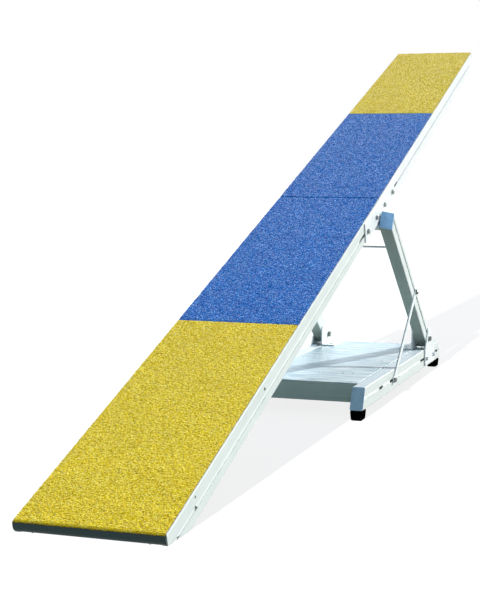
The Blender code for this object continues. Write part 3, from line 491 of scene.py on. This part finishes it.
# The brightest stops stand partly for paler crumbs and partly for faces that catch the sun: a painted
# glint.
YELLOW = [(0.0, "c4a00a"), (0.25, "ebc60e"), (0.70, "ffdf18"), (1.0, "ffee6c")]
BLUE = [(0.0, "022e80"), (0.25, "0060b8"), (0.86, "067bd2"), (1.0, "96d4ff")]
yellow_crumbs = granulate("epdm_granulate_yellow", YELLOW, crevice_shade="7a5208")
blue_crumbs = granulate("epdm_granulate_blue", BLUE, crevice_shade="071d4c")
print("crumb cells of", [round(1000 * side, 2) for side in CELL[:2]], "mm")

# %% [markdown]
# ## Rubber, plastic, zinc, steel and bronze
#
# The small parts each have an ordinary workshop finish. One function can make them all: two
# close colours in a cloud, which also changes the roughness a little, over a fine relief. The
# clouds are as large as on real parts. The relief is an eighth of that, coarser than the real
# one, because a tenth of a millimetre would not show.

# %% Plain workshop finishes
SPECK = 0.12  # size of the relief, as a share of the cloud
EVEN = (0.02, 0.02, 0.02)


def workshop_finish(name, light, dark, size, rough, metallic=0.0, relief=0.3, **sockets):
    """Two close colours in a cloud of the given size, with roughness from rough[0] to rough[1]."""
    made, tree, shader = finish(name, Metallic=metallic, **sockets)
    cloud = blotches(tree, size, detail=4.0)
    tone = add(tree, "ShaderNodeValToRGB", {"Fac": cloud}, stops=[(0.35, dark), (0.65, light)])
    tree.links.new(tone.outputs["Color"], shader.inputs["Base Color"])
    spread = add(tree, "ShaderNodeMapRange", {"Value": cloud, "From Min": 0.3, "From Max": 0.7,
                                              "To Min": rough[0], "To Max": rough[1]})
    tree.links.new(spread.outputs["Result"], shader.inputs["Roughness"])
    speck = blotches(tree, [s * SPECK for s in size])
    bump = add(tree, "ShaderNodeBump", {"Height": speck, "Strength": relief, "Distance": FINE_RELIEF})
    tree.links.new(bump.outputs["Normal"], shader.inputs["Normal"])
    return made


# Moulded rubber filled with soot: black, and too dull to mirror anything.
foot_rubber = workshop_finish("moulded_black_rubber", "080807", "030303", EVEN, (0.50, 0.70),
                              Specular_IOR_Level=0.0)
# End pieces with a moulded plastic finish: their dark grey green is painted shade with turf reflected in
# it, with a cloud drawn out across the plank.
nosing_painted_shade = workshop_finish("moulded_dark_nosing", "2f4342", "233635", (0.06, 0.03, 0.02),
                                 (0.45, 0.6), Specular_IOR_Level=0.25)
# Moulded plastic caps with a soft shine. Their blue grey is a painted reflection of the sky, and those on
# the beams are painted paler: painted light.
cap_plastic_painted_sky = workshop_finish("moulded_grey_cap_post", "9ac8ee", "8ab9e2", EVEN, (0.40, 0.55))
beam_cap_plastic_painted_paler = workshop_finish("moulded_grey_cap_beam", "badcee", "aacee2", EVEN, (0.40, 0.55))
# Zinc plated steel: grey, half bright, with a slight yellowish cloud.
zinc_plate = workshop_finish("zinc_plated_steel", "8f9592", "6c726d", (0.012, 0.012, 0.012),
                             (0.28, 0.42), metallic=0.7)
# Ground steel: bright, with next to no relief.
ground_steel = workshop_finish("ground_steel_axle", "c4c6c8", "a9acae", (0.008, 0.03, 0.03),
                               (0.30, 0.40), metallic=1.0, relief=0.02)
# Sintered bronze: brown, with fine pores, and rather dull.
bush_bronze = workshop_finish("sintered_bronze", "b08a4c", "8e6c38", (0.006, 0.006, 0.006),
                              (0.40, 0.55), metallic=1.0)
print(len(bpy.data.materials), "materials so far")

# %% [markdown]
# ## Which solid wears what
#
# The solids' names start with what they are, so a short table of beginnings is enough. Where
# two beginnings fit, as strut and strut_foot_bolt do, the longer one counts. A list with a
# line for each of the 60 solids would be safer against a surprising name, but much longer.

# %% Give every solid its finish
FINISHES = {
    "rail": plank_profile, "rail_far": far_profile_painted_light, "cross_rib": rear_profile_painted_shade, "plank_sheet": plank_sheet,
    "end_nosing": nosing_painted_shade, "splice_plate": splice_stock, "pivot_bracket": flat_stock,
    "pivot_bush": bush_bronze, "yellow_granulate": yellow_crumbs, "blue_granulate": blue_crumbs,
    "axle": ground_steel, "axle_collar": zinc_plate, "tie_rod": ground_steel,
    "post": post_profile, "post_cap": cap_plastic_painted_sky, "post_foot_bolt": zinc_plate,
    "strut": flat_stock, "strut_foot_bolt": zinc_plate, "strut_top_bolt": zinc_plate,
    "foot": foot_rubber, "foot_angle": flat_stock, "gusset": flat_stock,
    "base_beam": beam_profile, "beam_cap": beam_cap_plastic_painted_paler, "base_deck": deck_sheet,
    "crossbeam": cross_profile_painted_turf, "crossbeam_rear": rear_profile_painted_shade,
}


def wear(target, material):
    """Gives an object this one material."""
    target.data.materials.clear()
    target.data.materials.append(material)


for name, solid in solids.items():
    key = max((beginning for beginning in FINISHES if name.startswith(beginning)), key=len)
    wear(solid, FINISHES[key])
print("finishes on", len(solids), "solids")

# %% [markdown]
# ## The granulate as a real surface
#
# Bump alone leaves the edges of the rubber straight, and the photograph shows them ragged.
# So each field is a grid of points 2.3 mm apart, one for each crumb. Every point is nudged
# sideways and set to a random depth under the field's top, and the outermost rows are
# nudged inwards only, so that nothing leaves the field's own space. A Displace modifier could
# do this too, but it moves the edges outwards as well.
#
# The outermost crumbs lie lower, because the layer is thin at its edges. At the plank's two
# ends it also runs down a little over the sheet.

# %% The nudged grid
FIELD_WIDTH = 0.2985
SPACING = 0.0023
NUDGE = 0.4  # sideways, as a share of the spacing
RELIEF = 0.0015  # deepest dip between crumbs
INSET = 0.0016  # farthest the outermost crumbs move in
END_SHARE = 0.4  # the two short ends are this much straighter than the sides
EDGE_SINK, EDGE_RAGGED = 0.0008, 0.0018  # least and random extra depth along the sides


def crumb_skin(rng, start, stop, sink):
    """Grid of (x, along, depth), where depth = RELIEF * random squared and x and along are nudged.

    sink is how far the crumbs at the start and at the stop lie under the rest, as at a cut
    edge. The next row sinks half as far.
    """
    rows, columns = int((stop - start) / SPACING) + 1, int(FIELD_WIDTH / SPACING) + 1
    along, x = np.meshgrid(np.linspace(start, stop, rows),
                           np.linspace(-FIELD_WIDTH / 2, FIELD_WIDTH / 2, columns), indexing="ij")
    nudge = (rng.random((2, rows, columns)) - 0.5) * 2 * NUDGE * SPACING
    inward = rng.random((2, rows, columns)) * INSET
    x[:, 1:-1] += nudge[0, :, 1:-1]
    x[:, 0] += inward[0, :, 0]
    x[:, -1] -= inward[0, :, -1]
    along[1:-1] += nudge[1, 1:-1]
    along[0] += inward[1, 0] * END_SHARE
    along[-1] -= inward[1, -1] * END_SHARE
    depth = RELIEF * rng.random((rows, columns)) ** 2
    depth[:, [0, -1]] += EDGE_SINK + EDGE_RAGGED * rng.random((rows, 2))
    for row, share in ((0, 1.0), (1, 0.5)):
        depth[row] += share * sink[0]
        depth[-1 - row] += share * sink[1]
    return np.stack([x, along, depth], axis=-1)


print("a field is", int(FIELD_WIDTH / SPACING) + 1, "crumbs wide")

# %% [markdown]
# ## A closed field
#
# A real layer has a thickness, so the grid alone isn't enough: it gets a skirt down to the
# sheet and a flat underside. A Solidify modifier would copy all the crumbs to the underside,
# and nobody can see it there. Its four-sided faces run from side to side instead, and each
# short end is closed with one face of many corners.

# %% Close a field
FIELD_DEPTH = 0.004
TIP_DROOP = 0.0014  # farthest the layer runs down over the sheet at the plank's two ends
TIP_BAND = 0.001  # how close to the plank's end a crumb must be for that


def closed(skin, rng):
    """Points and faces of the skin with its skirt and underside, from the grid's outermost ring."""
    rows, columns = skin.shape[:2]
    ring = np.concatenate([np.arange(columns), np.arange(1, rows) * columns + columns - 1,
                           (rows - 1) * columns + np.arange(columns - 2, -1, -1),
                           np.arange(rows - 2, 0, -1) * columns])
    first, count = rows * columns, len(ring)
    under = skin.reshape(-1, 3)[ring]
    at_tip = np.abs(under[:, 1]) > HALF_LENGTH - TIP_BAND
    under[:, 2] = FIELD_DEPTH + np.where(at_tip, TIP_DROOP * rng.random(count), 0.0)
    below = first + np.arange(count)
    skirt = np.stack([ring, below, np.roll(below, -1), np.roll(ring, -1)], axis=-1)
    left = first + np.concatenate([[0], count - np.arange(1, rows)])
    right_side = first + columns - 1 + np.arange(rows)
    underside = np.stack([left[1:-2], left[2:-1], right_side[2:-1], right_side[1:-2]], axis=-1)
    # Known fault: the next two faces, at the underside's ends, point up into the layer, not down.
    near_end = [*(left[0] + np.arange(columns)).tolist(), int(right_side[1]), int(left[1])]
    far_end = [int(right_side[-2]), *(right_side[-1] + np.arange(columns)).tolist(), int(left[-2])]
    faces = grid_faces(rows, columns) + skirt.tolist() + underside.tolist() + [near_end, far_end]
    return np.concatenate([skin.reshape(-1, 3), under]), faces


def crumb_field(name, start, stop, material, seed, sink):
    """Crumb surface between two distances from the seam, in place of the solid of that name."""
    rng = np.random.default_rng(seed)
    points, faces = closed(crumb_skin(rng, start, stop, sink), rng)
    field = piece(name + "_crumbs", on_plank(points), faces, "plank")
    wear(field, material)
    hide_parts(name)
    return field


print("the layer is", 1000 * FIELD_DEPTH, "mm thick")

# %% [markdown]
# ## The four fields
#
# Each colour field is 0.900 m long, with 0.6 mm between the colours and 2 mm at the seam of the
# two halves. One mesh with two materials would save three objects, but each solid is replaced
# by a piece of its own. Each has its own random seed, so that no two look alike. Its ends sink
# most at the plank's ends, and on the blue side of a colour change more than on the yellow.

# %% Four crumb fields
SEAM, BLUE_END, YELLOW_START = 0.001, 0.8997, 0.9003
AT_TIP, AT_YELLOW, AT_BLUE, AT_SEAM = 0.0024, 0.0008, 0.0012, 0.0015
fields = [
    crumb_field("yellow_granulate_near", -HALF_LENGTH, -YELLOW_START, yellow_crumbs,
                seed=11, sink=(AT_TIP, AT_YELLOW)),
    crumb_field("blue_granulate_near", -BLUE_END, -SEAM, blue_crumbs,
                seed=12, sink=(AT_BLUE, AT_SEAM)),
    crumb_field("blue_granulate_far", SEAM, BLUE_END, blue_crumbs,
                seed=13, sink=(AT_SEAM, AT_BLUE)),
    crumb_field("yellow_granulate_far", YELLOW_START, HALF_LENGTH, yellow_crumbs,
                seed=14, sink=(AT_YELLOW, AT_TIP)),
]
print("crumb faces", sum(len(field.data.polygons) for field in fields))

# %% [markdown]
# ## Turned shapes, many times over
#
# Small fasteners are one turned shape each, repeated by a list of places. A Screw or an Array
# modifier could do both, but copying arrays is quicker than making an object for each screw,
# and the copies can face any way. Three helpers are enough: one spins a profile, one says how
# a copy stands in the room, and one makes the copies.

# %% Spin, face and repeat
ALMOST_X = 0.9  # a direction with a larger X part counts as sideways


def turned(profile, steps):
    """Closed turned shape about the Z axis, from the profile's (radius, height) rows, bottom to top.

    point = (radius * cos(angle), radius * sin(angle), height). Two end faces close it.
    """
    profile = np.asarray(profile, float)
    angle = 2 * np.pi * np.arange(steps) / steps
    radius, height = profile[:, :1], profile[:, 1:]
    points = np.stack([radius * np.cos(angle), radius * np.sin(angle),
                       np.broadcast_to(height, (len(profile), steps))], axis=-1)
    last = (len(profile) - 1) * steps
    ends = [list(range(steps))[::-1], list(range(last, last + steps))]
    return points.reshape(-1, 3), grid_faces(len(profile), steps, around=True) + ends


def facing(direction, place, lean=0.0):
    """3 by 4 matrix that points a shape's Z axis along direction and then puts it in place.

    lean turns a shape that faces along X with the slant of the profile that it sits on.
    """
    z = np.asarray(direction, float) / np.linalg.norm(direction)
    sideways = abs(z[0]) > ALMOST_X
    guide = np.array([0.0, math.cos(lean), math.sin(lean)] if sideways else [1.0, 0.0, 0.0])
    x = np.cross(guide, z)
    x /= np.linalg.norm(x)
    return np.column_stack([x, np.cross(z, x), z, place])


def repeated(points, faces, places):
    """One mesh of many copies: places is one 3 by 4 matrix, turn and then place, for each copy."""
    places = np.asarray(places, float)
    copied = np.einsum("nij,pj->npi", places[:, :, :3], points) + places[:, None, :, 3]
    copies = [[corner + k * len(points) for corner in face] for k in range(len(places)) for face in faces]
    return copied.reshape(-1, 3), copies


print("a disc of 24 steps has", len(turned([(1.0, 0.0), (1.0, 1.0)], 24)[1]), "faces")

# %% [markdown]
# ## Screws in the rails
#
# Small button screws hold the ribs and the end pieces in the rails. Their heads are low domes
# with a hexagon socket, which at this size is no more than a dark dimple. The photograph shows
# three on the near half, one of them with a smaller head, and the other side has its three on
# the far half.

# %% Button screws in the rails
HEAD_SEAT = 0.0002  # the heads sit this far in the rail's face
# Distance from the seam, depth under the plank's top, and size of the head.
RAIL_SCREWS = [(1.185, 0.0240, 1.0), (1.643, 0.0182, 0.7), (1.645, 0.0400, 1.0)]


def button_head(radius, height, socket):
    """Dome profile from the rim to the socket's mouth, then down into the socket.

    Between them radius and height follow a quarter circle: cosine inwards, sine upwards.
    """
    t = np.linspace(0.0, 1.0, 7)
    dome_r = socket + (radius - socket) * np.cos(t * np.pi / 2)
    dome_h = 0.15 * height + 0.85 * height * np.sin(t * np.pi / 2)
    return turned([(radius, 0.0), *zip(dome_r, dome_h), (socket * 0.92, height * 0.45)], 24)


rail_places = []
for side in (-1, 1):
    for along, down, size in RAIL_SCREWS:
        spot = on_plank([side * (PLANK_WIDTH / 2 - HEAD_SEAT), -side * along, down])
        place = facing((side, 0, 0), spot, TILT)
        place[:, :3] *= size
        rail_places.append(place)
points, faces = repeated(*button_head(radius=0.0042, height=0.0022, socket=0.0018), rail_places)
rail_screws = piece("rail_screws", points, faces, "plank", smooth=True)
wear(rail_screws, zinc_plate)
print(len(rail_places), "screws")

# %% [markdown]
# ## Rivets in the deck
#
# The deck is riveted to what lies under it, in four rows across. A blind rivet is a shallow
# dome with the broken end of its mandrel in the middle. The places are read from the
# photograph, and they aren't quite regular, so a list serves better than a spacing.

# %% Blind rivets in the deck
RIVET = [(0.0040, 0.0), (0.0038, 0.0006), (0.0030, 0.0011), (0.0016, 0.0013), (0.0014, 0.0010),
         (0.0007, 0.0010)]
RIVET_SEAT = 0.0001
RIVET_ROWS = [(-0.232, (-0.13, -0.055, 0.025, 0.065, 0.13)), (-0.080, (-0.13, 0.0, 0.070, 0.1)),
              (0.2142, (-0.13, -0.05, 0.05, 0.122)), (0.6707, (-0.08, 0.0, 0.08))]
deck_places = [facing((0, 0, 1), (x, row, DECK_TOP - RIVET_SEAT)) for row, xs in RIVET_ROWS for x in xs]
points, faces = repeated(*turned(RIVET, 20), deck_places)
deck_rivets = piece("deck_rivets", points, faces, "base", smooth=True)
wear(deck_rivets, flat_stock)
print(len(deck_places), "rivets")

# %% [markdown]
# ## Slot covers
#
# An open slot collects dirt, so such profiles are usually closed with a strip that snaps into
# it. In the photograph the slots of the rails and of the base beams are bright nearly
# everywhere, and dark only for a few centimetres next to the splice plates, the struts' feet
# and the gussets. That is just where a strip has to stop short of a bolt. The strip is one
# profile with two legs, carried along the slot, and it fills the slot's mouth. A curve with
# this bevel would give the same shape, but not the slanted ends at the plank's tips.

# %% Strips in the slots of the rails and the base beams
# Across the slot and depth under the profile's face: the crowned front, then the two legs.
STRIP = np.array([(-0.0042, 0.0016), (-0.0030, 0.0009), (0.0, 0.0006), (0.0030, 0.0009),
                  (0.0042, 0.0016), (0.0042, 0.0024), (0.0038, 0.0024), (0.0041, 0.0060),
                  (0.0030, 0.0062), (0.0026, 0.0024), (-0.0026, 0.0024), (-0.0030, 0.0062),
                  (-0.0041, 0.0060), (-0.0038, 0.0024), (-0.0042, 0.0024)])
RAIL_SLOT = 0.040  # the slot's middle, under the plank's top
BEAM_SLOT = 0.059  # and above the ground
RAIL_COVER_START = 0.262  # past the splice plate and its bolts
CUT_GAP = 0.016  # from the strip's end to the rail's slanted cut
BEAM_COVERS = [(-0.336, -0.150), (-0.095, 0.002), (0.083, 0.478), (0.808, 0.822)]


def carried(profile, start, stop, flip):
    """Closed bar: the profile's (x, up) rows carried along from start to stop.

    start and stop are one number each, or one for each row where the end is slanted. flip
    turns every face over. Which value points them outwards depends on the profile's direction.
    """
    points = np.concatenate([np.insert(profile, 1, place, axis=1) for place in (start, stop)])
    n = len(profile)
    faces = grid_faces(2, n, around=True) + [list(range(n))[::-1], list(range(n, 2 * n))]
    return points, [face[::-1] for face in faces] if flip else faces


def strip_profile(side, face, middle):
    """Rows of (x, across) of the strip in a slot that opens sideways in a face."""
    return np.column_stack([side * (face - STRIP[:, 1]), middle + STRIP[:, 0]])


at_cut = HALF_LENGTH - (RAIL_SLOT + STRIP[:, 0] - NOSE_DEPTH) / math.tan(TILT) - CUT_GAP
# Known fault: both flip tests below are the wrong way round, so all strips' faces point inwards.
for side, side_name in ((-1, "left"), (1, "right")):
    in_rail = strip_profile(side, PLANK_WIDTH / 2, RAIL_SLOT)
    for end_name, start, stop, material in (("near", -at_cut, -RAIL_COVER_START, plank_cover),
                                            ("far", RAIL_COVER_START, at_cut, far_cover_painted_shade)):
        points, faces = carried(in_rail, start, stop, flip=side > 0)
        cover = piece(f"rail_cover_{end_name}_{side_name}", on_plank(points), faces, "plank")
        wear(cover, material)
    in_beam = strip_profile(side, POST_SIDE + PROFILE_WIDTH, BEAM_SLOT)
    for number, (start, stop) in enumerate(BEAM_COVERS, 1):
        points, faces = carried(in_beam, start, stop, flip=side < 0)
        cover = piece(f"beam_cover_{number}_{side_name}", points, faces, "base")
        wear(cover, beam_cover)
print(2 * (2 + len(BEAM_COVERS)), "slot covers")

# %% [markdown]
# ## Hems of the deck
#
# The deck's long edges are folded over, and the round fold catches the sun as a thin bright
# line. Half a circle carried along the edge is enough for it: x = middle + radius * cosine,
# height = deck + radius * sine. It stops at the posts' angle brackets.

# %% Folded edges of the deck
DECK_START = -0.262
BRACKET_START = 0.528
HEM = 0.0009
HEM_GAP = 0.0004  # between the hem and the base beam
HEM_SEAT = 0.0001
angle = np.linspace(0.0, np.pi, 9)
for side, side_name in ((-1, "left"), (1, "right")):
    middle = side * (POST_SIDE - HEM_GAP - HEM)
    half_circle = np.column_stack([middle + HEM * np.cos(angle),
                                   DECK_TOP - HEM_SEAT + HEM * np.sin(angle)])
    points, faces = carried(half_circle, DECK_START, BRACKET_START, flip=True)
    hem = piece(f"deck_hem_{side_name}", points, faces, "base", smooth=True)
    wear(hem, flat_stock)
print("hems of", round(BRACKET_START - DECK_START, 3), "m")

# %% [markdown]
# ## Floor
#
# A plain pale floor runs out to the horizon. Seen by the camera and in reflections it glows
# by itself nearly to white, so the sky and the floor meet without an edge, while to diffuse
# light it stays darker, as ground does, and it still shows a faint shadow. What it throws back
# at the undersides is a little green, as from turf. A curved studio backdrop would hide the
# horizon too, but it would throw far more light on the undersides.

# %% Floor
FLOOR_REACH = 60.0
FLOOR_GLOW = 0.83
TURF = (0.015, 0.025, 0.021, 1.0)
WHITE = (1.0, 1.0, 1.0, 1.0)


def seen_directly(tree):
    """1 for rays from the camera, off a mirror or through glass, and 0 for diffuse light."""
    rays = add(tree, "ShaderNodeLightPath").outputs
    mirrored = add(tree, "ShaderNodeMath", {0: rays["Is Camera Ray"], 1: rays["Is Glossy Ray"]},
                   operation="MAXIMUM").outputs["Value"]
    return add(tree, "ShaderNodeMath", {0: mirrored, 1: rays["Is Transmission Ray"]},
               operation="MAXIMUM").outputs["Value"]


floor_mesh = bpy.data.meshes.new("floor")
floor_corners = FLOOR_REACH * np.array([(-1, -1, 0), (1, -1, 0), (1, 1, 0), (-1, 1, 0)])
floor_mesh.from_pydata(floor_corners.tolist(), [], [[0, 1, 2, 3]])
floor = bpy.data.objects.new("floor", floor_mesh)
bpy.context.scene.collection.objects.link(floor)

pale, tree, shader = finish("pale_floor", Roughness=0.9)
shader.inputs["Emission Color"].default_value = WHITE
seen = seen_directly(tree)
bounced = add(tree, "ShaderNodeMix", {"Factor": seen, "A": TURF, "B": colour("595959")}, data_type="RGBA")
tree.links.new(bounced.outputs["Result"], shader.inputs["Base Color"])
glow = add(tree, "ShaderNodeMath", {0: seen, 1: FLOOR_GLOW}, operation="MULTIPLY")
tree.links.new(glow.outputs["Value"], shader.inputs["Emission Strength"])
wear(floor, pale)
print("floor of", 2 * FLOOR_REACH, "m")

# %% [markdown]
# ## World and lamps
#
# The world is white where it is seen and a soft blue where it lights, like open sky. Three
# lamps are enough. A low sun from behind on the right picks out the profiles' sides and throws
# the posts' shadows over the deck. A broad soft one from above on the left stands for the sky,
# and lights the tops. Both leave the floor out. The third lights nothing but the floor, from
# low in front, so the plank's shadow runs back as one pale grey band.
#
# Area lamps would be closer to a studio, but their light fades along a plank of 3.6 m, and the
# photograph was lit from far away.

# %% World and lamps
SKY_LIGHT = (0.23, 0.32, 0.43, 1.0)
world = bpy.data.worlds.new("studio")
bpy.context.scene.world = world
world.use_nodes = True
tree = world.node_tree
sky = add(tree, "ShaderNodeMix", {"Factor": seen_directly(tree), "A": SKY_LIGHT, "B": WHITE},
          data_type="RGBA")
tree.links.new(sky.outputs["Result"], tree.nodes["Background"].inputs["Color"])


def sun(name, towards, strength, softness, tint):
    """Sun lamp; towards points from the scene to the sun and softness is its width in degrees."""
    lamp = bpy.data.lights.new(name, "SUN")
    lamp.energy, lamp.angle, lamp.color = strength, math.radians(softness), tint
    made = bpy.data.objects.new(name, lamp)
    made.matrix_world = Matrix(facing(towards, (0.0, 0.0, 0.0))[:, :3]).to_4x4()
    bpy.context.scene.collection.objects.link(made)
    return made


low_sun = sun("low_sun", (1.15, 1.65, 1.0), 5.2, 1.5, (1.0, 0.98, 0.94))
soft_sky = sun("soft_sky", (-0.34, 0.10, 0.93), 1.85, 14.0, (0.86, 0.94, 1.0))
floor_light = sun("floor_light", (-0.02, -3.5, 1.0), 21.0, 1.0, (1.0, 1.0, 1.0))
without_floor = bpy.data.collections.new("lit_without_the_floor")
without_floor.objects.link(floor)
without_floor.collection_objects[0].light_linking.link_state = "EXCLUDE"
low_sun.light_linking.receiver_collection = without_floor
soft_sky.light_linking.receiver_collection = without_floor
floor_only = bpy.data.collections.new("lit_only_the_floor")
floor_only.objects.link(floor)
floor_light.light_linking.receiver_collection = floor_only
bpy.context.scene.view_settings.view_transform = "Standard"
print("lamps", low_sun.name, soft_sky.name, floor_light.name)
